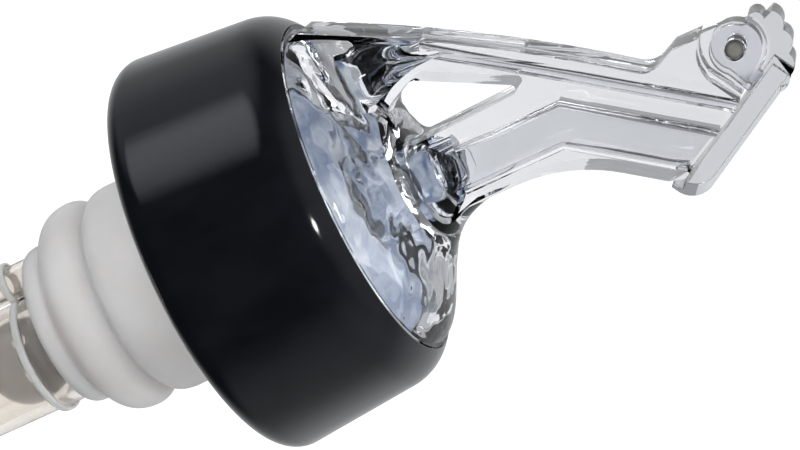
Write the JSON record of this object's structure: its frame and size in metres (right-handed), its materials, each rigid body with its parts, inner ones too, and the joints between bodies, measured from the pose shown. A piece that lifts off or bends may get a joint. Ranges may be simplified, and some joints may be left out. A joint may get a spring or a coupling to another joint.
{
  "type": "liquor pour spout",
  "caption": "Measured pour spout with a clear arched spout, flip-up flap on a pin, round collar, ribbed stopper and metering tube with captive balls.",
  "frame": {"origin": "on the stopper's axis, in the plane of the collar's lower edge, where the bottle's neck comes in", "axes": "+Z along the stopper's axis towards the spout, +X towards the side that the outlet leans to"},
  "size_m": [0.0372, 0.0372, 0.1211],
  "materials": {
    "clear_plastic": "clear moulded plastic, polished, faint blue tint",
    "clear_flap": "clear moulded plastic, polished",
    "tube_plastic": "clear extruded plastic tube",
    "steel_pin": "drawn steel pin",
    "steel_ball": "polished steel",
    "black_gloss": "near-black gloss plastic",
    "milky_rubber": "translucent milky soft plastic, satin",
    "milky_plastic": "translucent milky plastic",
    "white_plastic": "white moulded plastic",
    "black_rubber": "black rubber"
  },
  "bodies": {
    "root": {"spout_body": "clear_plastic", "hinge_pin": "steel_pin", "collar": "black_gloss", "stopper": "milky_rubber", "duct_core": "white_plastic", "neck_oring": "black_rubber", "metering_tube": "tube_plastic", "valve_seat": "black_rubber", "ball_cage": "white_plastic", "tube_end_cap": "milky_plastic", "breather_tube": "tube_plastic", "vent_seat": "white_plastic", "vent_ball_retainer": "white_plastic", "tube_clip_upper": "milky_plastic", "tube_clip_lower": "milky_plastic"},
    "flap": {"flap": "clear_flap"},
    "cutoff_ball": {"cutoff_ball": "steel_ball"},
    "check_ball": {"check_ball": "steel_ball"},
    "vent_ball": {"vent_ball": "steel_ball"}
  },
  "joints": [
    {"name": "flap_hinge", "type": "hinge", "parent": "root", "child": "flap", "pos_m": [0.00235, 0, 0.05], "axis": [0, -1, 0], "range_deg": [0, 75]},
    {"name": "cutoff_ball_slide", "type": "slide", "parent": "root", "child": "cutoff_ball", "axis": [0, 0, 1], "range_m": [-0.0287, 0]},
    {"name": "check_ball_slide", "type": "slide", "parent": "root", "child": "check_ball", "axis": [0, 0, 1], "range_m": [0, 0.003]},
    {"name": "vent_ball_slide", "type": "slide", "parent": "root", "child": "vent_ball", "axis": [0, 0, 1], "range_m": [0, 0.0103]}
  ]
}
